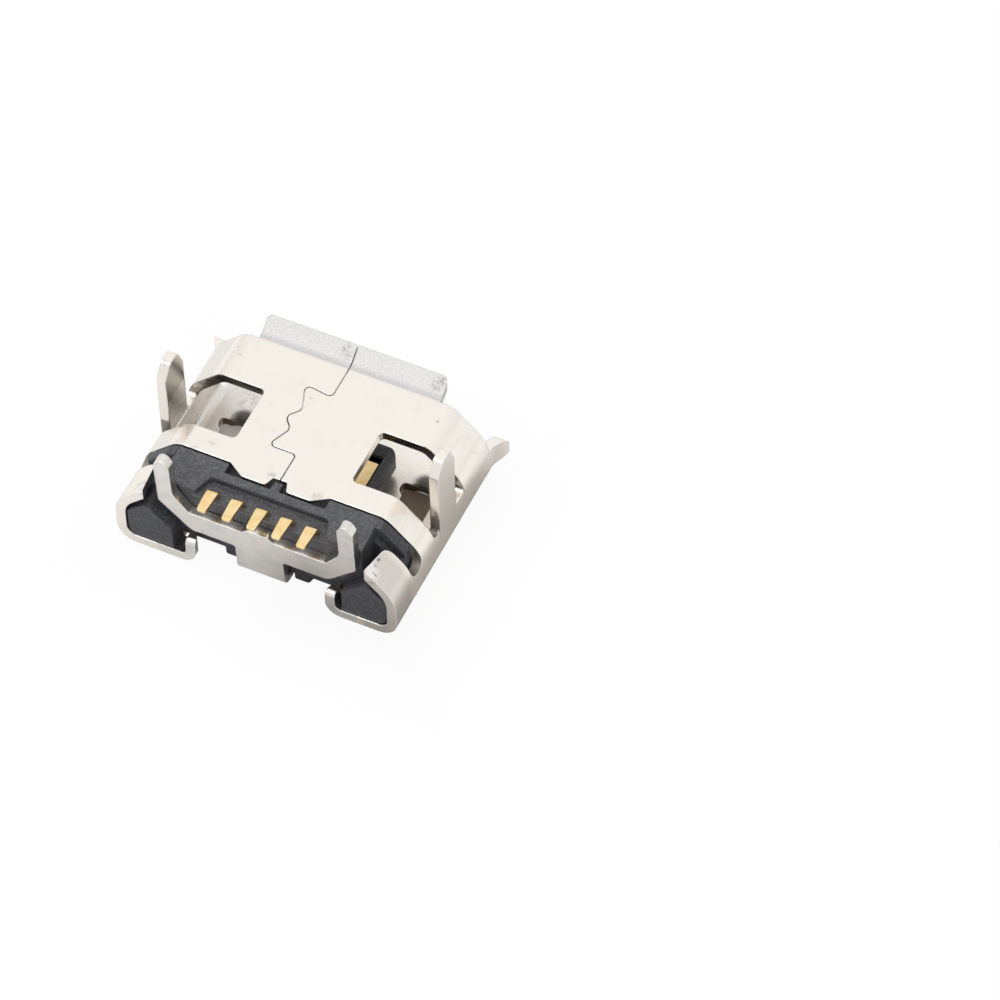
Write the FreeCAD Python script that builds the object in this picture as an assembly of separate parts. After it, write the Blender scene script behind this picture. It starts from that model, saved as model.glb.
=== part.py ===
import FreeCAD, Part
import math
import os

# A micro USB type B board socket with five contacts, through-board legs and a folded sheet-metal shell.
# Frame, in millimetres: X runs across the socket, Y to its rear and Z up to its board side. It lies on the
# outer face of its wide wall at Z 0, and Y 0 is the rear edge of the wall that seats on the board.

# Interface and sheet
MOUTH_WIDTH = 6.90
MOUTH_HEIGHT = 1.85
SHEET = 0.25
CONTACT_PITCH = 0.65
CONTACT_COUNT = 5

# Shell length: the board-side wall runs from the mouth to Y 0, and the wide wall on to the rear end
BODY_LENGTH = 3.68
LIP_LENGTH = 0.40
END_LENGTH = 1.50

# Shell section
SEAT_WIDTH = 5.50
WIDE_BEND = 0.50
CHAMFER_BEND = 1.00
SEAT_BEND = 0.55

# Corners of the punched outlines
SHARP_CORNER = 0.05
FINE_CORNER = 0.08
PUNCH_CORNER = 0.12
RELIEF_CORNER = 0.14

# Board-side wall: stepped rear edge with a notch at the seam
STEP_WIDTH = 1.80
STEP_RISE = 0.27
STEP_RUN = 0.42
NOTCH_WIDTH = 0.56
NOTCH_FLARE = 0.10

# Locking seam, with its places measured from the mouth and from Y 0
SEAM_GAP = 0.03
SEAM_NECK = 0.47
SEAM_LOBE = 0.75
SEAM_FRONT = 0.93
SEAM_REAR = 0.84
SEAM_SLANT = 0.10
SEAM_ROUND = 0.18

# Legs beside the openings that they are bent from
LEG_WIDTH = 0.87
LEG_Y = -1.365
RELIEF_FRONT = 0.50
RELIEF_REAR = 0.26
LEG_ROOT_DROP = 1.15
CUTOUT_INNER_X = 1.53
PIN_LENGTH = 1.23
PIN_TAPER = 0.36

# Strap across the rear, with a horn at each end
STRAP_Y = 1.24
STRAP_LEAN = 3.0
STRAP_DROP = 0.67
STRAP_DEPTH = 0.68
STRAP_WIDTH = 3.60
STRAP_CREST = 0.14
STRAP_CREST_WIDTH = 0.56
TAB_WIDTH = 1.26
TAB_BEND = 0.29
HORN_X = 2.395
HORN_WIDTH = 0.41
HORN_ROOT_DEPTH = 0.53
HORN_FILLET = 0.45
HORN_CORNER = 0.30
HORN_TIP = 0.03
HORN_ROUND = 0.15

# Mouth flange
FLANGE_WIDTH = 4.80
FLANGE_LENGTH = 0.526
FLANGE_ANGLE = 36.0
FLANGE_BEND = 0.40

# Lip of the wide wall and ears of the side walls
LIP_WIDTH = 6.10
LIP_RELIEF = 0.28
EAR_LOW_Z = 0.40
EAR_HEIGHT = 0.74
EAR_LENGTH = 0.50
EAR_ANGLE = 32.0
EAR_BEND = 0.40
EAR_TAPER = 0.18
EAR_CORNER = 0.18

# Latch windows and dimples in the wide wall
WINDOW_X = 2.44
WINDOW_WIDTH = 0.80
WINDOW_LENGTH = 1.58
WINDOW_SETBACK = 1.08
WINDOW_HEAD_WIDTH = 1.08
WINDOW_HEAD = 0.40
DIMPLE_SETBACK = 0.11
DIMPLE_RADIUS = 0.31
DIMPLE_SPREAD = 0.02
DIMPLE_DEPTH = 0.12

# Rear end of the wide wall, with a curled hook at each side
WIDE_REAR_Y = 0.67
WIDE_NOTCH_Y = 0.46
WIDE_NOTCH_WIDTH = 0.65
SLOT_X = 2.24
HOOK_WIDTH = 0.48
HOOK_X_RIGHT = 1.62
HOOK_X_LEFT = 1.82
HOOK_BEND = 0.40
HOOK_HEIGHT = 0.78
HOOK_ROUND = 0.45

# Rear side flaps and the slots in front of them
SIDE_SLOT_WIDTH = 0.55
SIDE_SLOT_DROP = 1.27
FLAP_WIDTH = 0.66
FLAP_TAPER = 0.14
FLAP_CORNER = 0.24

# Insulator block, with a collar behind the shell's edge and a recess round the tails
BLOCK_FRONT_Y = -0.50
BLOCK_UNDERCUT = 0.16
BLOCK_DROP = 0.01
BLOCK_WIDTH = 5.30
BLOCK_EDGE = 0.06
BLOCK_FACE_GAP = 0.04
SHOULDER_LENGTH = 0.33
SHOULDER_SIDE_GAP = 0.06
COLLAR_DROP = 0.85
SHOULDER_STEP = 0.05
SHOULDER_STEP_LENGTH = 0.15
RECESS_Y = 0.56
RECESS_WIDTH = 3.08
RECESS_FLARE = 0.19
RECESS_DEPTH = 0.24
STEP_CLEARANCE = 0.06

# Insulator corner blocks, feet and peg
CORNER_GAP = 0.03
CORNER_SETBACK = 0.04
CORNER_WIDTH = 1.19
CORNER_SIDE_DROP = 1.25
CORNER_TOP_DROP = 0.85
CORNER_SLOPE = 0.45
CORNER_FLAT = 0.16
CORNER_INNER_DROP = 1.40
FOOT_GAP = 0.07
FOOT_LENGTH = 0.45
FOOT_TAPER = 0.10
FOOT_LIFT = 0.03
PEG_WIDTH = 0.22
PEG_GAP = 0.08

# Insulator tongue
TONGUE_WIDTH = 3.36
TONGUE_SETBACK = 0.85
TONGUE_LIFT = 0.25
TONGUE_THICKNESS = 0.60
TONGUE_CORNER = 0.20
TONGUE_ROUND = 0.22
NOSE_LENGTH = 0.36
GROOVE_DEPTH = 0.06
GROOVE_GAP = 0.02

# Contacts
CONTACT_THICKNESS = 0.10
CONTACT_PROUD = 0.02
STRIP_WIDTH = 0.29
STRIP_SETBACK = 0.59
RISER_Y = 0.83
RISER_BEND = 0.05
TAIL_WIDTH = 0.29
TAIL_LENGTH = 0.77
TAIL_PROUD = 0.03
TAIL_BEND = 0.25
TAIL_TAPER = 0.03

# Places that follow from the sizes above
WIDTH = MOUTH_WIDTH + 2 * SHEET
HEIGHT = MOUTH_HEIGHT + 2 * SHEET
MOUTH_Y = -BODY_LENGTH
REAR_Y = END_LENGTH
PIN_TOP_Z = HEIGHT + PIN_LENGTH
STRAP_TOP_Z = HEIGHT - STRAP_DROP
STRAP_LOW_Z = STRAP_TOP_Z - STRAP_DEPTH
LEG_FRONT_Y = LEG_Y - LEG_WIDTH / 2
LEG_REAR_Y = LEG_Y + LEG_WIDTH / 2
CUTOUT_FRONT_Y = LEG_FRONT_Y - RELIEF_FRONT
CUTOUT_REAR_Y = LEG_REAR_Y + RELIEF_REAR
CUTOUT_FLOOR_Z = HEIGHT - LEG_ROOT_DROP
WINDOW_FRONT_Y = MOUTH_Y + WINDOW_SETBACK
BLOCK_REAR_Y = STRAP_Y - SHEET + STRAP_TOP_Z * math.tan(math.radians(STRAP_LEAN))
TONGUE_FRONT_Y = MOUTH_Y + TONGUE_SETBACK
TONGUE_LOW_Z = SHEET + TONGUE_LIFT
TONGUE_TOP_Z = TONGUE_LOW_Z + TONGUE_THICKNESS

V = FreeCAD.Vector
CLEAR = 0.01
BEYOND = 10.0


def on_xy(z):
    return lambda a, b: V(a, b, z)


def on_xz(y):
    return lambda a, b: V(a, y, b)


def on_yz(x):
    return lambda a, b: V(x, a, b)


def unit(a, b):
    length = math.hypot(b[0] - a[0], b[1] - a[1])
    return ((b[0] - a[0]) / length, (b[1] - a[1]) / length)


def corner_arc(before, point, after, radius):
    """Start, middle and end of the arc that rounds a corner."""
    to_before = unit(point, before)
    to_after = unit(point, after)
    half = math.acos(max(-1.0, min(1.0, to_before[0] * to_after[0] + to_before[1] * to_after[1]))) / 2
    reach = radius / math.tan(half)
    middle = unit((0, 0), (to_before[0] + to_after[0], to_before[1] + to_after[1]))
    inset = radius / math.sin(half) - radius
    start = (point[0] + to_before[0] * reach, point[1] + to_before[1] * reach)
    end = (point[0] + to_after[0] * reach, point[1] + to_after[1] * reach)
    return start, (point[0] + middle[0] * inset, point[1] + middle[1] * inset), end


def outline(corners, plane, closed=True):
    """Wire through corners (a, b) or (a, b, radius), with a tangent arc at each radius."""
    edges = []
    last = None
    first = None
    count = len(corners)
    for i, corner in enumerate(corners):
        radius = corner[2] if len(corner) > 2 else 0
        if radius and (closed or 0 < i < count - 1):
            start, middle, end = corner_arc(corners[i - 1], corner, corners[(i + 1) % count], radius)
        else:
            start = end = corner[:2]
        if last and math.dist(last, start) > 1e-6:
            edges.append(Part.LineSegment(plane(*last), plane(*start)).toShape())
        if start != end:
            edges.append(Part.Arc(plane(*start), plane(*middle), plane(*end)).toShape())
        first = first or start
        last = end
    if closed and math.dist(last, first) > 1e-6:
        edges.append(Part.LineSegment(plane(*last), plane(*first)).toShape())
    return Part.Wire(edges)


def prism(corners, plane, along):
    return Part.Face(outline(corners, plane)).extrude(along)


def box(x0, x1, y0, y1, z0, z1):
    return Part.makeBox(x1 - x0, y1 - y0, z1 - z0, V(x0, y0, z0))


def mirror_image(shape):
    return shape.mirror(V(0, 0, 0), V(1, 0, 0))


def mirrored(shape):
    return shape.fuse(mirror_image(shape))


def both_sides(corners):
    """A closed outline from its right half."""
    return corners + [(-c[0],) + tuple(c[1:]) for c in reversed(corners)]


def bent_sheet(path, thickness, plane, along):
    """A bent strip: the path is one face of it, and its other face lies to the left."""
    other = []
    for i, point in enumerate(path):
        before = unit(path[i - 1], point) if i > 0 else unit(point, path[1])
        after = unit(point, path[i + 1]) if i < len(path) - 1 else before
        scale = thickness / (1 + before[0] * after[0] + before[1] * after[1])
        shifted = (point[0] - (before[1] + after[1]) * scale, point[1] + (before[0] + after[0]) * scale)
        turn = before[0] * after[1] - before[1] * after[0]
        radius = point[2] if len(point) > 2 else 0
        if radius:
            radius = radius - thickness if turn > 0 else radius + thickness
        other.append(shifted + (radius,))
    return prism(list(path) + other[::-1], plane, along)


def section(inset):
    """Cross-section of the shell, moved inwards by inset: wide wall below, chamfered to the board side."""
    half = WIDTH / 2 - inset
    chamfer = (WIDTH - SEAT_WIDTH) / 2
    half_turn = math.tan(math.radians(22.5))
    slope = inset * half_turn
    largest = chamfer / math.sqrt(2) / half_turn
    return both_sides([
        (half, inset, WIDE_BEND - inset),
        (half, HEIGHT - chamfer - slope, min(CHAMFER_BEND, largest) - inset),
        (SEAT_WIDTH / 2 - slope, HEIGHT - inset, min(SEAT_BEND, largest) - inset),
    ])


def tube():
    length = V(0, REAR_Y - MOUTH_Y, 0)
    return prism(section(0), on_xz(MOUTH_Y), length).cut(prism(section(SHEET), on_xz(MOUTH_Y), length))


def rear_cut():
    """What is cut from the board-side wall and the chamfers behind Y 0, and the side slots below."""
    flap_x = WIDTH / 2 - FLAP_WIDTH
    floor = HEIGHT - SIDE_SLOT_DROP
    edge = [
        (NOTCH_WIDTH / 2 - NOTCH_FLARE, 0, SHARP_CORNER),
        (NOTCH_WIDTH / 2, STEP_RISE, FINE_CORNER),
        (STEP_WIDTH / 2, STEP_RISE, PUNCH_CORNER),
        (STEP_WIDTH / 2 + STEP_RUN, 0, PUNCH_CORNER),
        (WIDTH, 0),
        (WIDTH, SIDE_SLOT_WIDTH),
        (flap_x, SIDE_SLOT_WIDTH, FLAP_CORNER),
        (flap_x - FLAP_TAPER, REAR_Y + CLEAR),
    ]
    above = prism(both_sides(edge), on_xy(floor + SIDE_SLOT_WIDTH), V(0, 0, HEIGHT))
    radius = SIDE_SLOT_WIDTH / 2 - CLEAR
    slot = [
        (0, HEIGHT),
        (0, floor, radius),
        (SIDE_SLOT_WIDTH, floor, radius),
        (SIDE_SLOT_WIDTH, HEIGHT),
    ]
    return above.fuse(mirrored(prism(slot, on_yz(flap_x), V(WIDTH / 2, 0, 0))))


def leg_cut():
    """The openings through the board-side wall and chamfer, and the reliefs beside each leg."""
    inner = [
        (CUTOUT_INNER_X, CUTOUT_FRONT_Y, RELIEF_CORNER),
        (CUTOUT_INNER_X, CUTOUT_REAR_Y, RELIEF_CORNER),
        (WIDTH / 2 - SHEET, CUTOUT_REAR_Y),
        (WIDTH / 2 - SHEET, CUTOUT_FRONT_Y),
    ]
    cut = prism(inner, on_xy(CUTOUT_FLOOR_Z), V(0, 0, HEIGHT))
    for front, rear in ((CUTOUT_FRONT_Y, LEG_FRONT_Y), (LEG_REAR_Y, CUTOUT_REAR_Y)):
        radius = min(RELIEF_CORNER, (rear - front) / 2 - CLEAR)
        relief = [
            (front, HEIGHT),
            (front, CUTOUT_FLOOR_Z, radius),
            (rear, CUTOUT_FLOOR_Z, radius),
            (rear, HEIGHT),
        ]
        cut = cut.fuse(prism(relief, on_yz(WIDTH / 2 - 2 * SHEET), V(3 * SHEET, 0, 0)))
    return mirrored(cut)


def leg():
    """Straight leg that goes through the board, with a tapered end."""
    side = [
        (LEG_FRONT_Y, CUTOUT_FLOOR_Z - SHEET),
        (LEG_REAR_Y, CUTOUT_FLOOR_Z - SHEET),
        (LEG_REAR_Y, PIN_TOP_Z - PIN_TAPER, RELIEF_CORNER),
        (LEG_REAR_Y - 0.8 * PIN_TAPER, PIN_TOP_Z, RELIEF_CORNER),
        (LEG_FRONT_Y + 0.6 * PIN_TAPER, PIN_TOP_Z, RELIEF_CORNER),
        (LEG_FRONT_Y, PIN_TOP_Z - 1.5 * PIN_TAPER, RELIEF_CORNER),
    ]
    return prism(side, on_yz(WIDTH / 2 - SHEET), V(SHEET, 0, 0))


def window():
    """Latch window: a slot with a wider head at its mouth end."""
    slot = WINDOW_WIDTH / 2
    head = WINDOW_HEAD_WIDTH / 2
    neck_y = WINDOW_FRONT_Y + WINDOW_HEAD
    right = [
        (slot, WINDOW_FRONT_Y + WINDOW_LENGTH, PUNCH_CORNER),
        (slot, neck_y, SHARP_CORNER),
        (head, neck_y - (head - slot), PUNCH_CORNER),
        (head, WINDOW_FRONT_Y, PUNCH_CORNER),
    ]
    left = [(-c[0],) + c[1:] for c in reversed(right)]
    shape = [(WINDOW_X + c[0],) + c[1:] for c in right + left]
    return mirrored(prism(shape, on_xy(-CLEAR), V(0, 0, HEIGHT / 2)))


def dimple_cap(base_z, radius):
    """Both pressed dimples as ball caps of the dimple's depth that stand on base_z."""
    ball = (radius ** 2 + DIMPLE_DEPTH ** 2) / (2 * DIMPLE_DEPTH)
    centre = V(WINDOW_X, WINDOW_FRONT_Y - DIMPLE_SETBACK, base_z + DIMPLE_DEPTH - ball)
    cap = Part.makeSphere(ball, centre)
    cap.rotate(centre, V(0, 1, 0), 90)
    return mirrored(cap)


def wide_rear_cut():
    """What is cut from the rear of the wide wall: the slots under the hooks and the notches by the tab."""
    tab = TAB_WIDTH / 2
    hook_x = max(HOOK_X_RIGHT, HOOK_X_LEFT)
    tab_end = STRAP_Y - TAB_BEND - SHEET
    hook_front = REAR_Y - HOOK_WIDTH
    half = [
        (0, BEYOND),
        (0, tab_end),
        (tab, tab_end),
        (tab, WIDE_NOTCH_Y, RELIEF_CORNER),
        (tab + WIDE_NOTCH_WIDTH, WIDE_NOTCH_Y, RELIEF_CORNER),
        (tab + WIDE_NOTCH_WIDTH, WIDE_REAR_Y, SHARP_CORNER),
        (SLOT_X, WIDE_REAR_Y, PUNCH_CORNER),
        (SLOT_X, hook_front, PUNCH_CORNER),
        (hook_x + HOOK_BEND, hook_front),
        (hook_x + HOOK_BEND, BEYOND),
    ]
    return mirrored(prism(half, on_xy(-CLEAR), V(0, 0, HOOK_HEIGHT)))


def hook(end_x):
    """Rear corner of the wide wall at negative X, curled up beside the insulator and rounded in plan."""
    front = REAR_Y - HOOK_WIDTH
    start_x = -SLOT_X - HOOK_BEND
    path = [(start_x, 0), (-end_x, 0, HOOK_BEND), (-end_x, HOOK_HEIGHT)]
    strip = bent_sheet(path, SHEET, on_xz(front), V(0, HOOK_WIDTH, 0))
    side = [(front, 0), (REAR_Y, 0), (REAR_Y, HOOK_HEIGHT, RELIEF_CORNER), (front, HOOK_HEIGHT)]
    radius = min(HOOK_ROUND, HOOK_WIDTH - CLEAR)
    plan = [(start_x, front), (-end_x, front, radius), (-end_x, REAR_Y), (start_x, REAR_Y)]
    rounded = prism(side, on_yz(-WIDTH), V(WIDTH, 0, 0)).common(prism(plan, on_xy(0), V(0, 0, HEIGHT)))
    return strip.common(rounded)


def seam():
    """Thin gap where the two halves of the board-side wall lock into each other."""
    front = MOUTH_Y + SEAM_FRONT
    rear = -SEAM_REAR
    tooth = (rear - front) / 6
    path = [
        (0, MOUTH_Y - 2 * FLANGE_LENGTH),
        (0, front, PUNCH_CORNER),
        (SEAM_LOBE, front - SEAM_SLANT, PUNCH_CORNER),
        (SEAM_NECK, front + 2 * tooth, SEAM_ROUND),
        (SEAM_LOBE, front + 3 * tooth, SEAM_ROUND),
        (SEAM_NECK, front + 4 * tooth, SEAM_ROUND),
        (SEAM_LOBE, rear, PUNCH_CORNER),
        (0, rear, PUNCH_CORNER),
        (0, STEP_RISE),
    ]
    gap = outline(path, on_xy(HEIGHT - SHEET - CLEAR), closed=False)
    face = gap.makeOffset2D(SEAM_GAP / 2, 0, True, False, False)
    return face.extrude(V(0, 0, HEIGHT))


def flange():
    """Matte lip of the board-side wall. Its bend starts at the mouth's edge and leads away from the mouth."""
    angle = math.radians(FLANGE_ANGLE)
    bend_y = MOUTH_Y - FLANGE_BEND * math.tan(angle / 2)
    tip_y = bend_y - FLANGE_LENGTH * math.cos(angle)
    tip_z = HEIGHT + FLANGE_LENGTH * math.sin(angle)
    path = [(MOUTH_Y + SHEET, HEIGHT), (bend_y, HEIGHT, FLANGE_BEND), (tip_y, tip_z)]
    strip = bent_sheet(path, SHEET, on_yz(-FLANGE_WIDTH / 2), V(FLANGE_WIDTH, 0, 0))
    plan = both_sides([(FLANGE_WIDTH / 2, 0), (FLANGE_WIDTH / 2, tip_y, RELIEF_CORNER)])
    return strip.common(prism(plan, on_xy(0), V(0, 0, 2 * HEIGHT)))


def ear():
    """Lip of a side wall, bent outwards at the mouth."""
    angle = math.radians(EAR_ANGLE)
    top = EAR_LOW_Z + EAR_HEIGHT
    bend_y = MOUTH_Y - EAR_BEND * math.tan(angle / 2)
    tip_x = WIDTH / 2 + EAR_LENGTH * math.sin(angle)
    tip_y = bend_y - EAR_LENGTH * math.cos(angle)
    path = [(tip_x, tip_y), (WIDTH / 2, bend_y, EAR_BEND), (WIDTH / 2, MOUTH_Y + SHEET)]
    strip = bent_sheet(path, SHEET, on_xy(EAR_LOW_Z), V(0, 0, EAR_HEIGHT))
    side = [
        (0, EAR_LOW_Z),
        (MOUTH_Y, EAR_LOW_Z, EAR_CORNER),
        (tip_y, EAR_LOW_Z + EAR_TAPER, EAR_CORNER),
        (tip_y, top, EAR_CORNER),
        (0, top),
    ]
    return strip.common(prism(side, on_yz(0), V(WIDTH, 0, 0)))


def lip():
    """Front strip of the wide wall, parted from the side walls by a notch at each corner."""
    plan = both_sides([(LIP_WIDTH / 2, MOUTH_Y + SHEET), (LIP_WIDTH / 2, MOUTH_Y - LIP_LENGTH, PUNCH_CORNER)])
    return prism(plan, on_xy(0), V(0, 0, SHEET))


def lip_relief():
    """Relief between the lip and the ear, through the rounded corner of the section."""
    plan = [
        (LIP_WIDTH / 2, MOUTH_Y - CLEAR),
        (LIP_WIDTH / 2, MOUTH_Y + LIP_RELIEF, RELIEF_CORNER),
        (WIDTH, MOUTH_Y + LIP_RELIEF),
        (WIDTH, MOUTH_Y - CLEAR),
    ]
    return mirrored(prism(plan, on_xy(-CLEAR), V(0, 0, WIDE_BEND)))


def strap():
    """Upright strap across the rear: bent up from a tab of the wide wall, it ends in two horns."""
    outer = HORN_X + HORN_WIDTH / 2
    inner = HORN_X - HORN_WIDTH / 2
    shoulder_z = PIN_TOP_Z - PIN_TAPER
    shape = both_sides([
        (TAB_WIDTH / 2, SHEET),
        (TAB_WIDTH / 2, STRAP_LOW_Z, FINE_CORNER),
        (STRAP_WIDTH / 2, STRAP_LOW_Z, HORN_CORNER),
        (outer, STRAP_LOW_Z + (outer - STRAP_WIDTH / 2), PUNCH_CORNER),
        (outer, shoulder_z, HORN_ROUND),
        (HORN_X, PIN_TOP_Z + HORN_TIP, HORN_ROUND),
        (inner, shoulder_z, HORN_ROUND),
        (inner, STRAP_TOP_Z + HORN_ROOT_DEPTH, HORN_FILLET),
        (STRAP_WIDTH / 2, STRAP_TOP_Z, PUNCH_CORNER),
        (STRAP_CREST_WIDTH / 2 + STRAP_CREST, STRAP_TOP_Z, PUNCH_CORNER),
        (STRAP_CREST_WIDTH / 2, STRAP_TOP_Z + STRAP_CREST, PUNCH_CORNER),
    ])
    upright = prism(shape, on_xz(STRAP_Y - SHEET), V(0, SHEET, 0))
    upright.rotate(V(0, STRAP_Y, 0), V(1, 0, 0), -STRAP_LEAN)
    below = box(-WIDTH, WIDTH, 0, BEYOND, -BEYOND, 2 * TAB_BEND)
    top = STRAP_LOW_Z + SHEET
    lean_top = STRAP_Y + top * math.tan(math.radians(STRAP_LEAN))
    foot = [(WIDE_NOTCH_Y - SHEET, 0), (STRAP_Y, 0, TAB_BEND), (lean_top, top)]
    tab = bent_sheet(foot, SHEET, on_yz(-TAB_WIDTH / 2), V(TAB_WIDTH, 0, 0))
    return upright.cut(below).fuse(tab)


def shell():
    body = tube().cut([rear_cut(), leg_cut(), wide_rear_cut(), lip_relief()])
    hooks = [hook(HOOK_X_LEFT), mirror_image(hook(HOOK_X_RIGHT))]
    body = body.fuse([leg(), mirror_image(leg()), flange(), mirrored(ear()), lip(), strap()] + hooks)
    inside = box(-WIDTH, WIDTH, -BEYOND, BEYOND, SHEET / 2, HEIGHT)
    bulge = dimple_cap(SHEET, DIMPLE_RADIUS + DIMPLE_SPREAD).common(inside)
    body = body.fuse(bulge).cut([dimple_cap(0, DIMPLE_RADIUS), window(), seam()])
    return body.removeSplitter()


def contact(index):
    """One contact: a strip on the tongue, a riser through the block and a tail that solders to the board."""
    x = (index - (CONTACT_COUNT + 1) / 2) * CONTACT_PITCH
    tail_z = HEIGHT + TAIL_PROUD
    tail_end = RISER_Y + TAIL_LENGTH
    top = TONGUE_TOP_Z + CONTACT_PROUD
    path = [
        (tail_end, tail_z),
        (RISER_Y, tail_z, TAIL_BEND),
        (RISER_Y, top, RISER_BEND),
        (TONGUE_FRONT_Y + STRIP_SETBACK, top),
    ]
    width = max(STRIP_WIDTH, TAIL_WIDTH)
    sheet = bent_sheet(path, CONTACT_THICKNESS, on_yz(x - width / 2), V(width, 0, 0))
    plan = [
        (STRIP_WIDTH / 2, -BEYOND),
        (STRIP_WIDTH / 2, BLOCK_FRONT_Y),
        (TAIL_WIDTH / 2, BLOCK_FRONT_Y),
        (TAIL_WIDTH / 2, RISER_Y + TAIL_BEND),
        (TAIL_WIDTH / 2 - TAIL_TAPER, tail_end, SHARP_CORNER),
    ]
    blank = prism(both_sides(plan), on_xy(0), V(0, 0, 2 * HEIGHT))
    return sheet.common(blank.translated(V(x, 0, 0)))


def block():
    """Rear block of the insulator, up to the board side behind the wall's edge."""
    front = prism(section(SHEET), on_xz(BLOCK_FRONT_Y), V(0, SHOULDER_LENGTH - BLOCK_FRONT_Y, 0))
    step = prism(section(SHEET + SHOULDER_STEP), on_xz(0), V(0, SHOULDER_LENGTH + SHOULDER_STEP_LENGTH, 0))
    collar = prism(section(BLOCK_DROP), on_xz(BLOCK_FACE_GAP), V(0, SHOULDER_LENGTH - BLOCK_FACE_GAP, 0))
    sides = WIDTH / 2 - SHEET - SHOULDER_SIDE_GAP
    above = box(-sides, sides, 0, BEYOND, HEIGHT - COLLAR_DROP, HEIGHT)
    between = box(-sides, sides, BLOCK_FRONT_Y, BEYOND, 0, HEIGHT)
    half = BLOCK_WIDTH / 2
    top = HEIGHT - BLOCK_DROP
    side = [
        (BLOCK_FRONT_Y, SHEET),
        (BLOCK_REAR_Y - BLOCK_UNDERCUT, SHEET),
        (BLOCK_REAR_Y, STRAP_LOW_Z, BLOCK_EDGE),
        (BLOCK_REAR_Y, top, BLOCK_EDGE),
        (BLOCK_FACE_GAP, top),
        (BLOCK_FACE_GAP, HEIGHT - SHEET),
        (BLOCK_FRONT_Y, HEIGHT - SHEET),
    ]
    middle = prism(side, on_yz(-half), V(2 * half, 0, 0))
    return front.common(between).fuse([step, collar.common(above), middle])


def corner_blocks():
    """Blocks in the rear corners of the shell, behind the slots in its sides."""
    outer = WIDTH / 2 - SHEET - CORNER_GAP
    inner = outer - CORNER_WIDTH
    crest = outer - CORNER_SLOPE
    top = HEIGHT - CORNER_TOP_DROP
    profile = [
        (inner, SHEET),
        (outer, SHEET, WIDE_BEND - SHEET),
        (outer, HEIGHT - CORNER_SIDE_DROP, PUNCH_CORNER),
        (crest, top, PUNCH_CORNER),
        (crest - CORNER_FLAT, top, SHARP_CORNER),
        (inner, HEIGHT - CORNER_INNER_DROP, FINE_CORNER),
    ]
    return mirrored(prism(profile, on_xz(0), V(0, REAR_Y - CORNER_SETBACK, 0)))


def feet():
    """Feet that fill the notches beside the tab."""
    inner = TAB_WIDTH / 2 + FOOT_GAP
    outer = TAB_WIDTH / 2 + WIDE_NOTCH_WIDTH - FOOT_GAP
    front = WIDE_NOTCH_Y + FOOT_LIFT
    plan = [
        (inner, front, FINE_CORNER),
        (inner, front + FOOT_LENGTH, FINE_CORNER),
        (outer - FOOT_TAPER, front + FOOT_LENGTH, FINE_CORNER),
        (outer, front, FINE_CORNER),
    ]
    return mirrored(prism(plan, on_xy(FOOT_LIFT), V(0, 0, STRAP_LOW_Z)))


def peg():
    """Peg of the block that stands in the notch of the board-side wall."""
    half = PEG_WIDTH / 2
    return box(-half, half, PEG_GAP, RECESS_Y - CLEAR, HEIGHT - 2 * SHEET, HEIGHT - BLOCK_DROP)


def recess():
    """Recess of the block round the risers, open to the rear."""
    half = RECESS_WIDTH / 2
    plan = both_sides([(half, RECESS_Y, PUNCH_CORNER), (half + RECESS_FLARE, BLOCK_REAR_Y + CLEAR)])
    return prism(plan, on_xy(HEIGHT - RECESS_DEPTH), V(0, 0, HEIGHT))


def step_clearance():
    """Room for the stepped middle of the board-side wall, with a pocket at each of its corners."""
    half = STEP_WIDTH / 2 + STEP_RUN
    plan = both_sides([(half, BLOCK_FRONT_Y), (half, STEP_RISE + STEP_CLEARANCE)])
    return prism(plan, on_xy(HEIGHT - SHEET), V(0, 0, HEIGHT))


def tongue():
    """Tongue with rounded sides."""
    half = TONGUE_WIDTH / 2
    plan = both_sides([(half, BLOCK_FRONT_Y + SHEET), (half, TONGUE_FRONT_Y, TONGUE_CORNER)])
    profile = both_sides([(half, TONGUE_LOW_Z, FINE_CORNER), (half, TONGUE_TOP_Z, TONGUE_ROUND)])
    length = prism(profile, on_xz(TONGUE_FRONT_Y), V(0, BLOCK_FRONT_Y + SHEET - TONGUE_FRONT_Y, 0))
    return length.common(prism(plan, on_xy(0), V(0, 0, HEIGHT)))


def grooves():
    """Grooves of the contacts in the tongue, behind its nose."""
    cuts = []
    for index in range(1, CONTACT_COUNT + 1):
        x = (index - (CONTACT_COUNT + 1) / 2) * CONTACT_PITCH
        half = STRIP_WIDTH / 2 + GROOVE_GAP
        front = TONGUE_FRONT_Y + NOSE_LENGTH
        cuts.append(box(x - half, x + half, front, BLOCK_FRONT_Y, TONGUE_TOP_Z - GROOVE_DEPTH, HEIGHT))
    return cuts


def insulator(metal, contacts):
    """The moulding, which meets the shell and the contacts face to face."""
    body = block().cut([recess(), step_clearance()])
    body = body.fuse([corner_blocks(), feet(), peg(), tongue().cut(grooves())])
    return body.cut([metal] + contacts).removeSplitter()


def export(name, shape):
    shape.exportStep(os.path.join("parts", name + ".step"))
    print(name, "solids", len(shape.Solids), "valid", shape.isValid(), "volume", round(shape.Volume, 4))


def main():
    os.makedirs("parts", exist_ok=True)
    metal = shell()
    contacts = [contact(i) for i in range(1, CONTACT_COUNT + 1)]
    export("shell", metal)
    export("insulator", insulator(metal, contacts))
    for i, piece in enumerate(contacts, 1):
        export("contact_%d" % i, piece)


main()
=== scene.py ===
# %% [markdown]
# # A micro USB board socket
# The part is a folded metal shell, 8 mm across, round a black moulding with five gold contacts.
# Its solids come in as a fixed frame at their real size. This script dresses them: it gives each
# metal and plastic its finish, rounds the edges that a press or a mould leaves, and lights the
# whole as in a studio. Blender works in metres, so a millimetre gets a name first.

# %% Load the frame
import math

import bpy
from mathutils import Matrix, Vector


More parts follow.
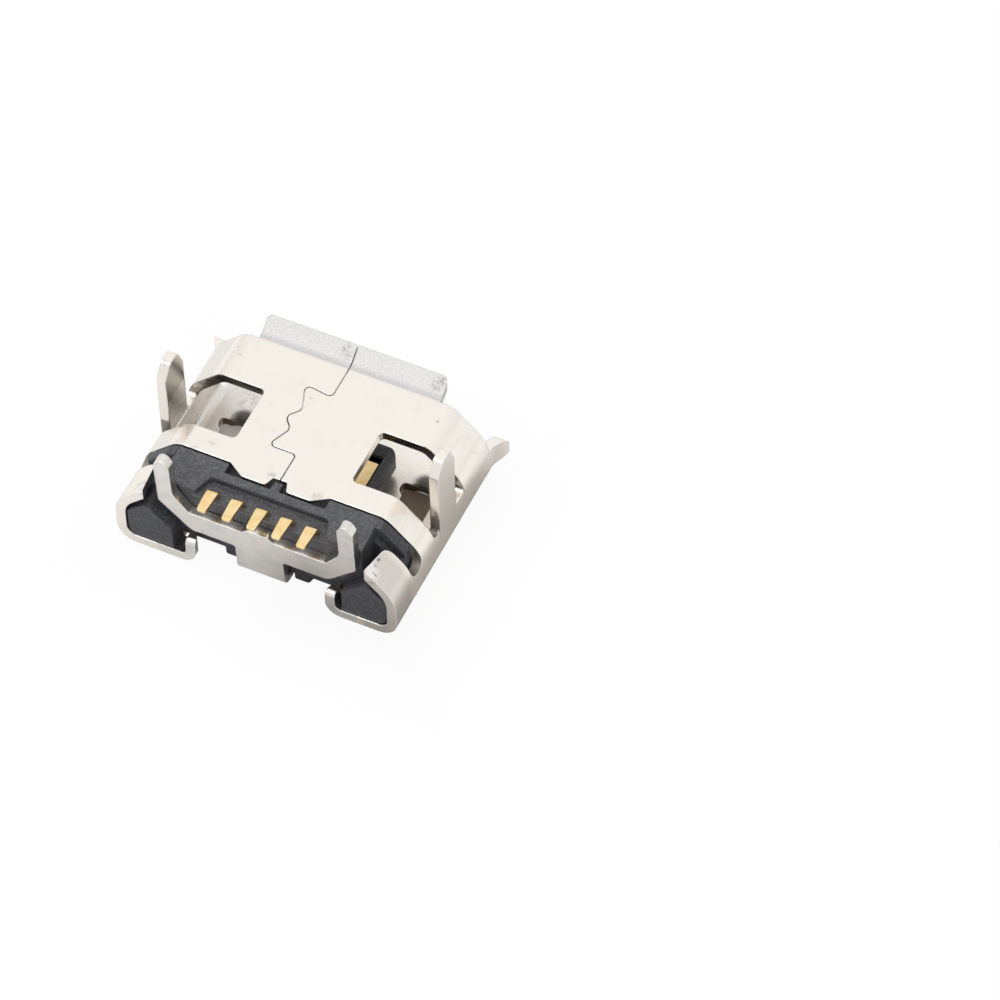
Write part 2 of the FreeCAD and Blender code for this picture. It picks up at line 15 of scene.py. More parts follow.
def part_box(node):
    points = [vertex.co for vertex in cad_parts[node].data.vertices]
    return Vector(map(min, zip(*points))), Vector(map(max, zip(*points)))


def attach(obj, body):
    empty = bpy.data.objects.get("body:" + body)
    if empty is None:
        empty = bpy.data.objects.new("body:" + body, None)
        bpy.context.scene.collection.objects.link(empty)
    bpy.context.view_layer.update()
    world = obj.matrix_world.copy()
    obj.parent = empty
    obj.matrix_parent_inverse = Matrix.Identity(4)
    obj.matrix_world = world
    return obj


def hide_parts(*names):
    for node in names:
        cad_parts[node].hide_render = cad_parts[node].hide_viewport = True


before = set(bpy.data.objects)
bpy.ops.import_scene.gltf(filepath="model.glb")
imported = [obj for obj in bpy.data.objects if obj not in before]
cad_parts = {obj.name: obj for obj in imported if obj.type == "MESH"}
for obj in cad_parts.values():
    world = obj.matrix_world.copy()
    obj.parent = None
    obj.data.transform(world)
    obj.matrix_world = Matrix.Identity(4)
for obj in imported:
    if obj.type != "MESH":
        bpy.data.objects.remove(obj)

MM = 0.001
CONTACTS = ["contact_%d" % i for i in range(1, 6)]
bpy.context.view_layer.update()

# %% [markdown]
# ## Places on the shell
# The finishes follow the shell: the flange is matte, the flaps are scuffed and so on. So its main
# places are named first, in millimetres. The board-side face and the flange's fold are worked out
# from the solids' boxes, and the others are sizes of the real stamping.

# %% Places on the shell
SHEET = 0.25
HALF_WIDTH = 3.70
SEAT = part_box("insulator")[1][2] / MM + 0.01
FLANGE_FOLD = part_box("shell")[0][1] / MM + 0.555
MOUTH_END = 0.35
WINDOW_X = 2.44
WINDOW_FRONT = -2.60
BOARD_OPENING_FRONT = -2.30
print("board-side face at %.2f mm, flange's fold at %.2f mm" % (SEAT, FLANGE_FOLD))

# %% [markdown]
# ## Shader maths as plain Python
# A shader graph is easier to read as a formula than as a web of nodes. The class below wraps one
# output socket, and each operator adds the Math node that does its work. The reflected forms let
# an expression start with a number, as in 1 - mask.

# %% Socket maths
class Wire:
    def __init__(self, graph, socket):
        self.graph = graph
        self.socket = socket

    def __add__(self, other):
        return self.graph.maths("ADD", self, other)

    def __radd__(self, other):
        return self.graph.maths("ADD", other, self)

    def __sub__(self, other):
        return self.graph.maths("SUBTRACT", self, other)

    def __rsub__(self, other):
        return self.graph.maths("SUBTRACT", other, self)

    def __mul__(self, other):
        return self.graph.maths("MULTIPLY", self, other)

    def __rmul__(self, other):
        return self.graph.maths("MULTIPLY", other, self)

    def __abs__(self):
        return self.graph.maths("ABSOLUTE", self)


print("wires can be added, subtracted, multiplied and made absolute")

# %% [markdown]
# One method adds any node: its type, then the settings, then the values or links of its sockets.
# Everything else is a short name for what is used often. The masks are soft steps: `above` and
# `below` an edge, `near` a middle, or a round `spot`.

# %% Graph helper
class Graph:
    def __init__(self, owner):
        owner.use_nodes = True
        self.tree = owner.node_tree
        self.tree.nodes.clear()

    def node(self, kind, settings=None, inputs=None):
        made = self.tree.nodes.new(kind)
        for name, value in (settings or {}).items():
            setattr(made, name, value)
        for name, value in (inputs or {}).items():
            socket = made.inputs[name]
            if isinstance(value, Wire):
                self.tree.links.new(value.socket, socket)
            else:
                socket.default_value = value
        return made

    def wire(self, made, output=0):
        return Wire(self, made.outputs[output])

    def maths(self, operation, *values, clamp=False):
        settings = {"operation": operation, "use_clamp": clamp}
        return self.wire(self.node("ShaderNodeMath", settings, dict(enumerate(values))))

    def clamp(self, value):
        return self.maths("ADD", value, 0.0, clamp=True)

    def smooth(self, value, low, high, start=0.0, end=1.0):
        """start below low, end above high, and a soft step between."""
        settings = {"interpolation_type": "SMOOTHSTEP"}
        inputs = {"Value": value, "From Min": low, "From Max": high, "To Min": start, "To Max": end}
        return self.wire(self.node("ShaderNodeMapRange", settings, inputs))

    def above(self, value, edge, soft):
        return self.smooth(value, edge - soft, edge + soft)

    def below(self, value, edge, soft):
        return self.smooth(value, edge - soft, edge + soft, 1.0, 0.0)

    def near(self, value, middle, reach, soft):
        return self.below(abs(value - middle), reach, soft)

    def place(self):
        """Object coordinates in millimetres, as three wires and the vector."""
        coordinates = self.wire(self.node("ShaderNodeTexCoord"), "Object")
        scaled = self.node("ShaderNodeVectorMath", {"operation": "SCALE"}, {0: coordinates, "Scale": 1 / MM})
        vector = self.wire(scaled)
        split = self.node("ShaderNodeSeparateXYZ", inputs={0: vector})
        return [self.wire(split, i) for i in range(3)] + [vector]

    def spot(self, vector, centre, radius):
        """1 round a point, fading to 0 at the radius."""
        gap = self.node("ShaderNodeVectorMath", {"operation": "DISTANCE"}, {0: vector, 1: centre})
        return self.smooth(self.wire(gap, "Value"), radius * 0.3, radius, 1.0, 0.0)

    def noise(self, vector, scale, detail, rough=0.5):
        inputs = {"Vector": vector, "Scale": scale, "Detail": detail, "Roughness": rough}
        return self.wire(self.node("ShaderNodeTexNoise", {}, inputs), "Fac")

    def streaks(self, vector, scales, detail, rough=0.5):
        """Noise with a scale of its own along each axis."""
        drawn_out = self.node("ShaderNodeVectorMath", {"operation": "MULTIPLY"}, {0: vector, 1: scales})
        return self.noise(self.wire(drawn_out), 1.0, detail, rough)

    def blend(self, factor, first, second):
        """A colour between two colours."""
        inputs = {0: factor, 6: first, 7: second}
        return self.wire(self.node("ShaderNodeMix", {"data_type": "RGBA"}, inputs), 2)

    def bump(self, height, depth, strength, normal=None):
        inputs = {"Height": height, "Distance": depth, "Strength": strength}
        if normal:
            inputs["Normal"] = normal
        return self.wire(self.node("ShaderNodeBump", {}, inputs))

    def principled(self, sockets):
        """The surface shader, and the material's output."""
        shader = self.node("ShaderNodeBsdfPrincipled", {}, sockets)
        self.surface(self.wire(shader))

    def surface(self, shader):
        self.node("ShaderNodeOutputMaterial", inputs={"Surface": shader})


print("graph helper ready")

# %% [markdown]
# A material and its graph are made together, and a colour is written as red, green and blue.

# %% Materials and colours
def new_material(name):
    made = bpy.data.materials.new(name)
    return made, Graph(made)


def rgb(red, green, blue):
    return (red, green, blue, 1.0)


print("ready for materials")

# %% [markdown]
# ## Nickel-plated steel
# Bright plating over rolled sheet is a warm pale metal with a satin gloss, so it is shaded as a
# metal of middling roughness. Its parts differ, as they do on the real stamping: the sheet inside
# the mouth is duller, the flange has a matte grain that sparkles and the ends of the flaps are
# scuffed. The dimples are painted dark and the strap is painted greyer, both as shade. Each of these
# is a mask worked out from the place in millimetres. The part is nearly symmetric, so most masks use
# the distance to its middle plane.

# %% Masks of the shell
FLAP_SIDE = 2.85
FLAP_FRONT = 0.65
FLAP_TIP = (2.97, 1.42, 2.12)
STRAP_FRONT = 0.94
STRAP_HALF_WIDTH = 2.625
DIMPLE = (WINDOW_X, WINDOW_FRONT - 0.11, 0.30)

steel, g = new_material("plated_steel")
x, y, z, here = g.place()
side = abs(x)
mirrored = g.wire(g.node("ShaderNodeCombineXYZ", {}, {0: side, 1: y, 2: z}))
above_floor = g.above(z, SHEET - 0.03, 0.02)
inside = g.below(z, SEAT - SHEET, 0.02) * above_floor
inside = inside * g.below(side, HALF_WIDTH - SHEET + 0.01, 0.02) * g.below(y, MOUTH_END, 0.15)
flange = g.below(y, FLANGE_FOLD, 0.04) * g.above(z, SEAT - SHEET, 0.05)
# painted shade in the dimples, which also lose their metal
dimple = g.spot(mirrored, DIMPLE, 0.42) * above_floor
strap = g.above(y, STRAP_FRONT, 0.02) * g.below(side, STRAP_HALF_WIDTH, 0.025)
flap = g.above(y, FLAP_FRONT, 0.15) * g.above(side, FLAP_SIDE, 0.10)
scuff = g.spot(mirrored, FLAP_TIP, 0.45)
# painted shade: the mouth's half on the +x side
mouth_shade_side = g.above(x, 0.5, 0.5)
# painted shade: the flap on the -x side
painted_flap_shade = flap * g.below(x, 0.0, 0.5)
print("shell masks:", len(g.tree.nodes), "nodes")

# %% [markdown]
# A punch leaves dark torn metal on the face that it cuts, at the front of the openings through the
# board side. The same dark is painted as shade on the front faces of the latch windows and in the
# notches of the side walls. The notches are picked by their true normal, which has little of the x
# direction. The inner face of one leg is painted grey as shade, and it gets its mask here too.

# %% Punched faces and painted shade
OPENING_LOW = 1.15
OPENING_SIDE = 1.515
NOTCH_SIDE = 3.425
NOTCH_Y = -0.20
NOTCH_Z = 1.20

opening = g.near(y, BOARD_OPENING_FRONT, 0.021, 0.009) * g.below(z, SEAT - 0.015, 0.005)
opening = opening * g.above(z, OPENING_LOW, 0.05) * g.above(side, OPENING_SIDE, 0.015)
# painted shade on the front faces of the latch windows
window = g.near(y, WINDOW_FRONT, 0.045, 0.015) * g.below(z, SHEET - 0.025, 0.015)
window = window * g.near(side, WINDOW_X, 0.55, 0.05)
# painted shade: the inner face of the leg on the +x side
leg_inside_shade = g.near(x, HALF_WIDTH - SHEET, 0.02, 0.01) * g.above(z, SEAT + 0.05, 0.05)
face = g.wire(g.node("ShaderNodeNewGeometry"), "True Normal")
across = abs(g.wire(g.node("ShaderNodeSeparateXYZ", {}, {0: face})))
# painted shade on the faces in the notches of the side walls
notch = g.below(across, 0.30, 0.10) * g.above(side, NOTCH_SIDE, 0.025)
notch = notch * g.near(z, NOTCH_Z, 0.50, 0.05) * g.near(y, NOTCH_Y, 0.775, 0.025)
print("with punched faces:", len(g.tree.nodes), "nodes")

# %% [markdown]
# Handling leaves small marks: grey smears on the flange, a few dark specks on the wall and on the
# tips of the legs. Each is a soft spot at its own place, broken up by noise. A row gives its
# centre, its radius and how strongly it shows.

# %% Marks on the shell
MARKS = [
    ((0.20, -4.00, 2.50), 0.20, 0.60),
    ((0.24, -4.14, 2.56), 0.18, 0.60),
    ((-2.20, -4.02, 2.48), 0.22, 0.60),
    ((-2.26, -4.16, 2.56), 0.18, 0.60),
    ((2.70, -3.30, SEAT), 0.11, 0.25),
    ((2.64, -3.16, SEAT), 0.10, 0.25),
    ((2.60, -3.02, SEAT), 0.11, 0.30),
    ((0.43, -2.53, SEAT), 0.07, 0.45),
    ((0.33, -2.45, SEAT), 0.05, 0.45),
    ((-2.52, -3.20, SEAT), 0.06, 0.45),
    ((-2.62, -3.12, SEAT), 0.07, 0.45),
    ((3.61, -1.21, 3.55), 0.09, 0.90),
    ((-3.56, -1.06, 3.56), 0.08, 1.40),
    ((-3.02, 0.98, 2.04), 0.09, 1.40),
    ((0.26, -0.03, SEAT), 0.17, 0.45),
    ((-1.02, 0.10, SEAT), 0.20, 0.40),
    ((-1.45, 0.20, SEAT), 0.14, 0.35),
    ((1.97, -0.37, SEAT), 0.16, 0.30),
    ((2.30, 0.00, SEAT), 0.15, 0.35),
    ((2.66, -3.30, 0.25), 0.40, 0.40),
]
broken = g.smooth(g.noise(here, 10.0, 6.0, 0.8), 0.44, 0.60)
dirt = 0.0
for centre, radius, depth in MARKS:
    dirt = dirt + g.spot(here, centre, radius) * broken * depth
print(len(MARKS), "marks")

# %% [markdown]
# The rest of the unevenness is noise at the scale that each kind has on the sheet, in features a
# millimetre: slow tints and clouds, a fine grain along the rolling direction, specks, stains,
# scratches and burrs.

# %% Patterns in the steel
tint = g.noise(here, 0.9, 3.0)
cloud = g.noise(here, 2.6, 4.0, 0.6)
stain = g.smooth(g.noise(here, 4.2, 6.0, 0.72), 0.59, 0.68)
burr = g.noise(here, 7.0, 3.0, 0.65)
glint = g.smooth(g.noise(here, 15.0, 2.0, 0.6), 0.60, 0.68)
speck = g.noise(here, 30.0, 3.0, 0.7)
sparkle = g.noise(here, 34.0, 4.0, 0.75)
grain = g.streaks(here, (26.0, 3.0, 26.0), 3.0)
scratch = g.streaks(here, (7.0, 1.6, 7.0), 5.0, 0.75)
torn = g.streaks(here, (2.0, 2.0, 22.0), 3.0)
print("with patterns:", len(g.tree.nodes), "nodes")

# %% [markdown]
# A Bevel node turns the normal at the rim of the sheet as a rounded edge would. Where it turns
# away from the face's own normal the metal is made smoother, and its colour is painted brighter as a
# highlight. A real bevel of the mesh would fold over itself at the smallest reliefs.

# %% Rim with a painted highlight
RIM_WIDTH = 0.045 * MM

edge = g.wire(g.node("ShaderNodeBevel", {"samples": 6}, {"Radius": RIM_WIDTH}))
turn = g.wire(g.node("ShaderNodeVectorMath", {"operation": "DOT_PRODUCT"}, {0: edge, 1: face}), "Value")
rim = g.below(turn, 0.93, 0.05) * (1 - window)
print("rim of", round(RIM_WIDTH / MM, 3), "mm on each side of an edge")

# %% [markdown]
# The plating's colour starts warm and pale, and each mask mixes in its own tone. The clouds and
# stains stay weak, because nickel is even. The strap, the flap on the -x side and the inner face of
# one leg are painted darker as shade.

# %% Colour of the plating
NICKEL = rgb(0.940, 0.880, 0.805)
PALE_NICKEL = rgb(0.920, 0.870, 0.805)
CLOUDED = rgb(0.78, 0.75, 0.72)
STAINED = rgb(0.66, 0.61, 0.56)
FLAP_SHADE_COLOUR = rgb(0.56, 0.52, 0.49)
LEG_SHADE_COLOUR = rgb(0.42, 0.37, 0.33)
STRAP_SHADE_GREY = rgb(0.64, 0.64, 0.64)

metal = g.blend(g.smooth(tint, 0.35, 0.65), NICKEL, PALE_NICKEL)
metal = g.blend(g.smooth(cloud, 0.60, 0.78) * 0.25, metal, CLOUDED)
metal = g.blend(stain * 0.24, metal, STAINED)
# painted shade: the flap on the -x side is made darker
metal = g.blend(painted_flap_shade * 0.55, metal, FLAP_SHADE_COLOUR)
# painted shade on the inner face of one leg
metal = g.blend(leg_inside_shade * 0.60, metal, LEG_SHADE_COLOUR)
# painted shade: the strap is made greyer, mottled by the clouds
metal = g.blend(strap * g.smooth(cloud, 0.40, 0.65, 0.30, 0.60), metal, STRAP_SHADE_GREY)
print("plating coloured")

# %% [markdown]
# Inside the mouth the sheet is paler, with long scratches along the way that a plug goes, and its
# half on the +x side is painted greyer as shade. The flange isn't polished: its surface is a fine
# grain in two greys with a few glints painted in as pale flecks.

# %% Mouth and flange
MOUTH_PALE = rgb(0.98, 0.93, 0.86)
MOUTH_WORN = rgb(0.88, 0.83, 0.76)
MOUTH_SHADE = rgb(0.62, 0.60, 0.58)
GRAIN_DARK = rgb(0.61, 0.60, 0.59)
GRAIN_PALE = rgb(0.73, 0.72, 0.71)
PAINTED_GLINT = rgb(0.92, 0.91, 0.90)

dull = g.blend(g.smooth(scratch, 0.45, 0.75), MOUTH_PALE, MOUTH_WORN)
# painted shade: the +x half of the mouth is made greyer
dull = g.blend(mouth_shade_side * 0.40, dull, MOUTH_SHADE)
matte = g.blend(g.smooth(sparkle, 0.42, 0.60), GRAIN_DARK, GRAIN_PALE)
# painted glints: pale flecks in the flange's colour
matte = g.blend(glint * 0.25, matte, PAINTED_GLINT)
colour = g.blend(inside, metal, dull)
colour = g.blend(flange, colour, matte)
print("mouth and flange coloured")

# %% [markdown]
# Last come the painted highlight on the rim, the dark punched faces, the painted shade in the
# windows, the notches and the dimples, the dirt and the scuffed ends of the flaps, each over what is
# below it.

# %% Edges, painted shade, dirt and wear
RIM_HIGHLIGHT = rgb(0.99, 0.985, 0.975)
TORN_METAL = rgb(0.13, 0.11, 0.09)
NOTCH_SHADE = rgb(0.26, 0.235, 0.21)
WINDOW_SHADE = rgb(0.14, 0.115, 0.09)
DIMPLE_SHADE = rgb(0.050, 0.042, 0.034)
SMEAR = rgb(0.26, 0.23, 0.21)
CRUMB = rgb(0.97, 0.95, 0.93)
PIT = rgb(0.40, 0.36, 0.34)

# painted highlight along the rim
colour = g.blend(rim * 0.85, colour, RIM_HIGHLIGHT)
colour = g.blend(opening * g.smooth(torn, 0.35, 0.60, 0.95, 0.70), colour, TORN_METAL)
# painted shade on the notch faces, which are also rougher
colour = g.blend(notch * 0.85, colour, NOTCH_SHADE)
# painted shade on the front faces of the latch windows
colour = g.blend(window * 0.9, colour, WINDOW_SHADE)
# painted shade: the dimples are made nearly black
colour = g.blend(dimple * 0.95, colour, DIMPLE_SHADE)
colour = g.blend(g.clamp(dirt), colour, SMEAR)
pitted = g.blend(g.smooth(burr, 0.56, 0.62), CRUMB, PIT)
colour = g.blend(scuff * 0.75, colour, pitted)
print("steel coloured:", len(g.tree.nodes), "nodes")

# %% [markdown]
# The gloss is satin, broken by specks, and matte on the flange. The relief is shallow: dents, the
# rolling grain, burrs at the rim of the strap and on the scuffs, and the flange's own grain. Each
# bump takes the last one's normal, and the first takes the rounded edge.

# %% Gloss and relief of the steel
SATIN = 0.24
MATTE = 0.50
DENT_DEPTH = 0.008 * MM
ROLLING_DEPTH = 0.0005 * MM
BURR_DEPTH = 0.050 * MM
GRAIN_DEPTH = 0.010 * MM

gloss = SATIN + (cloud - 0.5) * 0.12 + g.smooth(speck, 0.62, 0.75) * 0.10
gloss = gloss * (1 - flange) + flange * MATTE + inside * 0.04 - rim * 0.05 + notch * 0.3
dents = g.bump(cloud, DENT_DEPTH, 0.6, edge)
rolled = g.bump(grain * (1 - flange), ROLLING_DEPTH, 0.8, dents)
burred = g.bump(burr * g.clamp(scuff + rim * strap), BURR_DEPTH, 0.8, rolled)
relief = g.bump(sparkle * flange * 0.5 + speck * 0.03, GRAIN_DEPTH, 0.7, burred)
g.principled({
    "Base Color": colour,
    "Metallic": 1 - g.clamp(inside * 0.1 + dimple),
    "Roughness": gloss,
    "Normal": relief,
})
print("plated steel:", len(g.tree.nodes), "nodes")

# %% [markdown]
# ## Black moulding
# The insulator is a nylon filled with short glass fibres. The fibres lie at the surface, so the
# black has a grey speckle and a dull, slightly uneven gloss. Its colour is painted paler as light on
# the board side, in patches, and on the floor of the recess round the contacts.

# %% Masks of the moulding
RECESS_FRONT = 0.53
RECESS_HALF_WIDTH = 1.775
RECESS_FLOOR = 2.11

moulding, g = new_material("black_moulding")
x, y, z, here = g.place()
fibre = g.noise(here, 16.0, 4.0, 0.7)
fine = g.noise(here, 48.0, 2.0, 0.6)
patch = g.noise(here, 2.2, 3.0)
nick = g.smooth(g.streaks(here, (9.0, 5.0, 9.0), 5.0, 0.75), 0.62, 0.68)
top = g.above(z, SEAT - 0.065, 0.035)
recess = g.above(y, RECESS_FRONT, 0.03) * g.below(abs(x), RECESS_HALF_WIDTH, 0.025)
recess = recess * g.near(z, RECESS_FLOOR, 0.045, 0.015)
print("moulding masks:", len(g.tree.nodes), "nodes")

# %% Black moulding
BLACK = rgb(0.030, 0.031, 0.037)
BLACK_FIBRE = rgb(0.075, 0.077, 0.091)
PAINTED_LIGHT_BLACK = rgb(0.075, 0.076, 0.082)
PAINTED_LIGHT_FIBRE = rgb(0.160, 0.160, 0.168)
NICKED = rgb(0.26, 0.25, 0.25)
FIBRE_DEPTH = 0.012 * MM
FINE_DEPTH = 0.005 * MM

black = g.blend(g.smooth(fibre, 0.46, 0.66), BLACK, BLACK_FIBRE)
painted_light_black = g.blend(g.smooth(fibre, 0.40, 0.68), PAINTED_LIGHT_BLACK, PAINTED_LIGHT_FIBRE)
# painted light: paler on the top face, in patches, and on the recess floor
pale = g.clamp(top * (0.55 + patch * 0.5) + recess * 0.9)
colour = g.blend(pale, black, painted_light_black)
g.principled({
    "Base Color": g.blend(nick * 0.35, colour, NICKED),
    "Roughness": 0.46 + (fibre - 0.5) * 0.25 + top * 0.10,
    "Normal": g.bump(fine, FINE_DEPTH, 0.8, g.bump(fibre, FIBRE_DEPTH, 0.8)),
})
print("black moulding:", len(g.tree.nodes), "nodes")

# %% [markdown]
# ## Gold plating
# Thin gold over nickel, satin where it was rolled. It is pale and warm, and a little redder in
# patches, and the strip keeps the fine lines of its rolling.

# %% Gold plating
GOLD = rgb(0.98, 0.76, 0.43)
RED_GOLD = rgb(0.92, 0.66, 0.31)
LINE_DEPTH = 0.0015 * MM

gold, g = new_material("gold_plating")
here = g.place()[3]
wave = g.noise(here, 5.0, 3.0)
lines = g.streaks(here, (60.0, 6.0, 60.0), 2.0)
g.principled({
    "Base Color": g.blend(g.smooth(wave, 0.35, 0.70), GOLD, RED_GOLD),
    "Metallic": 1.0,
    "Roughness": 0.22 + (lines - 0.5) * 0.12,
    "Normal": g.bump(lines, LINE_DEPTH, 0.8),
})
print("gold plating:", len(g.tree.nodes), "nodes")

# %% [markdown]
# ## Rounded edges
# A mould or a press leaves no sharp edge, and that thin round edge is what catches the light along
# every outline. The shell's edges are rounded in its finish. The moulding and the contacts get a
# copy: its triangles are merged and dissolved into flat faces again, and a Bevel modifier rounds
# every edge over 35 degrees. Weighted normals keep the flats flat beside the tiny rounds.

# %% A merged copy
MERGE = 0.001 * MM
FLAT = math.radians(0.4)


def only(piece):
    bpy.ops.object.select_all(action="DESELECT")
    piece.select_set(True)
    bpy.context.view_layer.objects.active = piece


def copy_of_node(node, name):
    """A merged copy of a CAD node, at the origin, with its faces dissolved into flats."""
    piece = bpy.data.objects.new(name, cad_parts[node].data.copy())
    bpy.context.scene.collection.objects.link(piece)
    only(piece)
    bpy.ops.object.mode_set(mode="EDIT")
    bpy.ops.mesh.select_all(action="SELECT")
    bpy.ops.mesh.remove_doubles(threshold=MERGE)
    bpy.ops.mesh.dissolve_limited(angle_limit=FLAT)
    bpy.ops.object.mode_set(mode="OBJECT")
    return piece


print("faces within", round(math.degrees(FLAT), 2), "degrees become one flat")

# %% Edge rounding
SHARP = math.radians(35.0)
SEGMENTS = 2


def round_edges(piece, width):
    only(piece)
    bevel = piece.modifiers.new("edge", "BEVEL")
    bevel.width = width
    bevel.segments = SEGMENTS
    bevel.limit_method = "ANGLE"
    bevel.angle_limit = SHARP
    bevel.use_clamp_overlap = False
    bpy.ops.object.modifier_apply(modifier=bevel.name)
    bpy.ops.object.shade_smooth_by_angle(angle=SHARP)
    weighted = piece.modifiers.new("flats", "WEIGHTED_NORMAL")
    weighted.keep_sharp = True
    bpy.ops.object.modifier_apply(modifier=weighted.name)


def dress(node, name, material, width):
    """The rounded copy of a node in its finish, which stands for the node."""
    piece = copy_of_node(node, name)
    round_edges(piece, width)
    piece.data.materials.clear()
    piece.data.materials.append(material)
    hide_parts(node)
    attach(piece, "root")
    print(name, len(piece.data.polygons), "faces")


print("edges over", round(math.degrees(SHARP)), "degrees get rounded")

# %% [markdown]
# The shell stays as the frame has it and takes the steel on its slots. The moulding's edges are
# rounded a little more than the contacts', because a mould's corners wear.

# %% Dressed pieces
MOULDING_ROUND = 0.020 * MM
CONTACT_ROUND = 0.015 * MM

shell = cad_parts["shell"]
for slot in shell.material_slots:
    slot.material = steel
dress("insulator", "insulator_moulding", moulding, MOULDING_ROUND)
for node in CONTACTS:
    dress(node, "gold_" + node, gold, CONTACT_ROUND)

# %% [markdown]
# ## Table
# The table is white for the camera, with the part's faint shadow on it. Only under the latch
# windows does the camera see the lit paper, and its colour there is painted shade: brown, lighter on
# the side that the light reaches. First come the places on it: how far a point is past the part's
# footprint, whether it is under a window, and whether it lies in the mouth.

# %% Places on the table
FOOT_HALF_WIDTH = HALF_WIDTH - 0.15
FOOT_Y = -1.25
FOOT_HALF_LENGTH = 2.75
WINDOW_Y = -1.81
WINDOW_HALF_WIDTH = 0.50
WINDOW_HALF_LENGTH = 0.80
MOUTH_FRONT = -3.225

paper, g = new_material("white_table")
x, y = g.place()[:2]
past_side = abs(x) - FOOT_HALF_WIDTH
past = g.maths("MAXIMUM", past_side, abs(y - FOOT_Y) - FOOT_HALF_LENGTH)
past_window_side = abs(abs(x) - WINDOW_X) - WINDOW_HALF_WIDTH
past_window = g.maths("MAXIMUM", past_window_side, abs(y - WINDOW_Y) - WINDOW_HALF_LENGTH)
under = g.smooth(past_window, 0.0, 0.15, 1.0, 0.0)
mouth = g.below(y, MOUTH_FRONT, 0.075) * g.smooth(past, -0.20, 0.0, 1.0, 0.0)
lit = g.smooth(x, -1.0, 1.0)
print("table masks:", len(g.tree.nodes), "nodes")

# %% [markdown]
# Then the share of each ray that sees plain white instead of the lit paper. Polished walls mirror
# the table close by, so glossy rays see it grey beside the part, and brighter farther off. Behind
# the strap, and beside the part on the lit side, the white that glossy rays see is a painted
# reflection. Near the part, away from the light, the paper is painted grey as shadow.

# %% Table
TABLE_SIZE = 1.2
PAPER_WHITE = rgb(0.86, 0.86, 0.86)
PAPER_SHADOW_GREY = rgb(0.50, 0.485, 0.47)
PAPER_SHADE_BROWN = rgb(0.25, 0.20, 0.16)
PAPER_LIT_BROWN = rgb(0.84, 0.76, 0.68)

rays = g.node("ShaderNodeLightPath")
straight = g.wire(rays, "Is Camera Ray") + g.wire(rays, "Is Transmission Ray")
shadowed = g.smooth(past, -0.2, 3.0, 0.93, 0.985) - mouth * 0.52
# painted light: a little white under the windows on the lit side
white_share = straight * (shadowed * (1 - under) + under * lit * 0.10)
# painted reflection: glossy rays see white beside the part on the lit side and behind the strap
painted_light_beside = g.smooth(past_side, 0.0, 2.5) * lit * 0.40
painted_light_behind = g.smooth(y, 1.3, 2.8) * 0.26
far = g.smooth(past_side, 1.0, 6.0)
mirror_share = g.maths("MAXIMUM", far, g.maths("MAXIMUM", painted_light_behind, painted_light_beside))
white_share = white_share + g.wire(rays, "Is Glossy Ray") * mirror_share
# painted shadow: grey paper near the part, away from the light
paper_shadow = g.smooth(past, 0.0, 3.5, 1.0, 0.0) * (1 - lit) * g.smooth(y, -4.8, -3.4)
# painted shade: the paper under the windows is brown, lighter on the lit side
paper_colour = g.blend(under, g.blend(paper_shadow, PAPER_WHITE, PAPER_SHADOW_GREY), g.blend(lit, PAPER_SHADE_BROWN, PAPER_LIT_BROWN))
plain = g.wire(g.node("ShaderNodeBsdfDiffuse", {}, {"Color": paper_colour}))
white = g.wire(g.node("ShaderNodeEmission", {}, {"Color": rgb(1, 1, 1), "Strength": 1.0}))
mixed = g.node("ShaderNodeMixShader", {}, {0: g.clamp(white_share), 1: plain, 2: white})
g.surface(g.wire(mixed))

only(shell)
bpy.ops.mesh.primitive_plane_add(size=TABLE_SIZE, location=(0, 0, 0))
table = bpy.context.object
table.name = "table"
table.data.materials.append(paper)
print("table laid,", TABLE_SIZE, "m wide")

# %% [markdown]
# ## Light
# The photo is high-key: bright all round, and a little brighter overhead than at the horizon, so
# that flat walls shine and upright ones turn grey. A world whose brightness changes softly with
# direction does that, and it is a touch darker on the camera's side. Rays from the camera see
# plain white instead.

# %% World
HORIZON = 0.84
OVERHEAD = 0.17
CAMERA_SIDE = 0.03
DARKEST = 0.40

world = bpy.data.worlds.new("studio")
bpy.context.scene.world = world
g = Graph(world)
direction = g.wire(g.node("ShaderNodeTexCoord"), "Generated")
split = g.node("ShaderNodeSeparateXYZ", inputs={0: direction})
glow = HORIZON + g.wire(split, 2) * OVERHEAD - g.wire(split, 1) * CAMERA_SIDE
glow = g.maths("MINIMUM", g.maths("MAXIMUM", glow, DARKEST), 1.0)
rays = g.node("ShaderNodeLightPath")
level = glow + (1 - glow) * g.wire(rays, "Is Camera Ray")
sky = g.node("ShaderNodeBackground", {}, {"Color": rgb(1, 1, 1), "Strength": level})
g.node("ShaderNodeOutputWorld", inputs={"Surface": g.wire(sky)})
print("world ready")

# %% [markdown]
# One square softbox stands high behind the socket, to the left of the camera. It gives the shadow
# its soft edge and the plating a slow change of tone. Its power is worked out from the brightness
# that it should show.

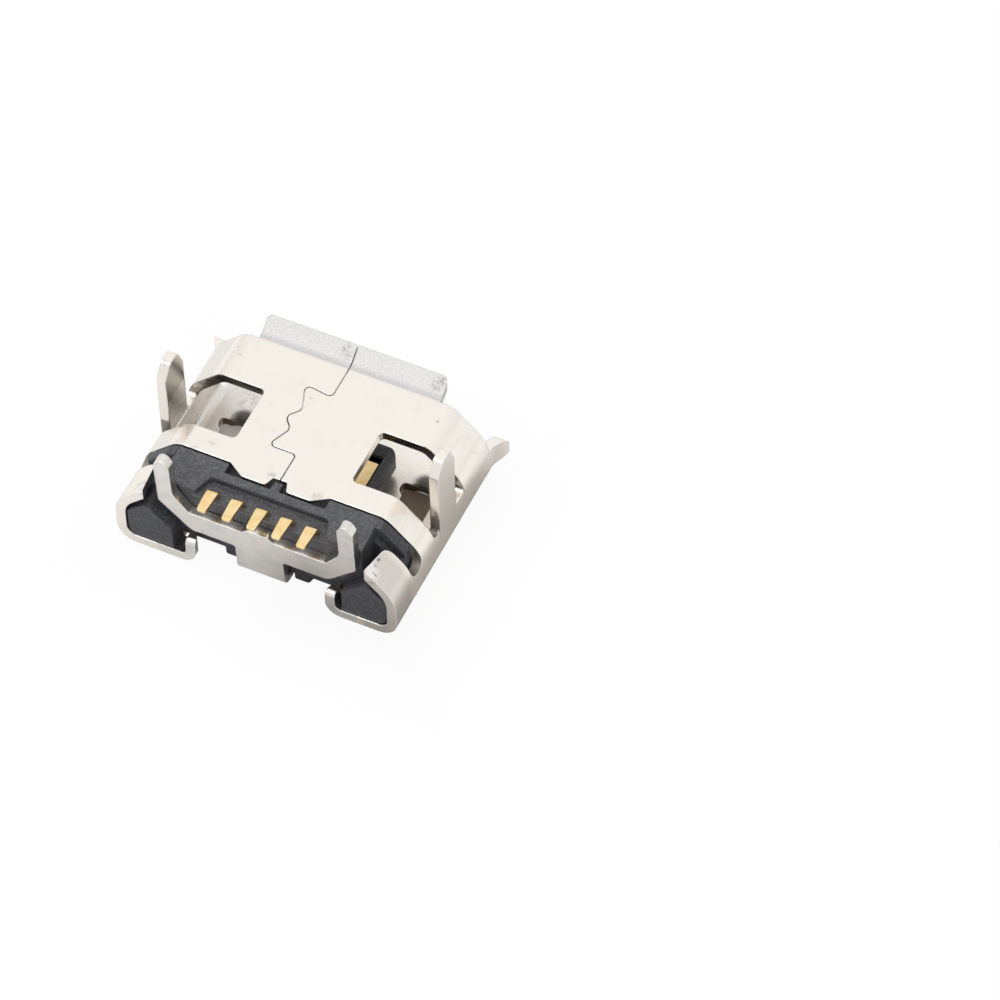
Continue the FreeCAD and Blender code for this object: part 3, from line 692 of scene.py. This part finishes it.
# %% Softbox
SOFTBOX_SIZE = 0.07
SOFTBOX_PLACE = Vector((0.05, 0.085, 0.155))
SOFTBOX_BRIGHTNESS = 2.2

lamp = bpy.data.lights.new("high_softbox", "AREA")
lamp.shape = "SQUARE"
lamp.size = SOFTBOX_SIZE
lamp.energy = SOFTBOX_BRIGHTNESS * math.pi * SOFTBOX_SIZE * SOFTBOX_SIZE
softbox = bpy.data.objects.new("high_softbox", lamp)
softbox.location = SOFTBOX_PLACE
softbox.rotation_euler = (-SOFTBOX_PLACE).to_track_quat("-Z", "Y").to_euler()
bpy.context.scene.collection.objects.link(softbox)
print("softbox of", round(lamp.energy, 4), "W")

# %% [markdown]
# ## Camera
# A long lens looks at the socket's rear from 52 degrees above the table. Its place, its slight
# roll and its focal length were found by fitting known points of the part to the photo.

# %% Camera
AZIMUTH = math.radians(206.266)
ELEVATION = math.radians(52.3)
ROLL = math.radians(-1.55)
DISTANCE = 131.64 * MM
TARGET = Vector((-5.112, -1.307, 2.763)) * MM
FOCAL_PIXELS = 5626.57
IMAGE_PIXELS = 1000.0
SENSOR = 36.0

camera = bpy.data.objects.new("camera", bpy.data.cameras.new("camera"))
bpy.context.scene.collection.objects.link(camera)
bpy.context.scene.camera = camera
camera.data.sensor_width = SENSOR
camera.data.lens = SENSOR * FOCAL_PIXELS / IMAGE_PIXELS
camera.data.clip_start = DISTANCE / 10
camera.data.clip_end = 10.0
back = Vector((
    math.sin(AZIMUTH) * math.cos(ELEVATION),
    -math.cos(AZIMUTH) * math.cos(ELEVATION),
    math.sin(ELEVATION),
))
right = Vector((math.cos(AZIMUTH), math.sin(AZIMUTH), 0))
up = back.cross(right)
turned_right = right * math.cos(ROLL) + up * math.sin(ROLL)
turned_up = up * math.cos(ROLL) - right * math.sin(ROLL)
axes = Matrix((turned_right, turned_up, back)).transposed().to_4x4()
camera.matrix_world = Matrix.Translation(TARGET + back * DISTANCE) @ axes
print("camera at", [round(v / MM, 1) for v in camera.location])

# %% [markdown]
# ## Colour view
# Colours are shown as they are written, with no film look on top.

# %% Finish
bpy.context.scene.view_settings.view_transform = "Standard"
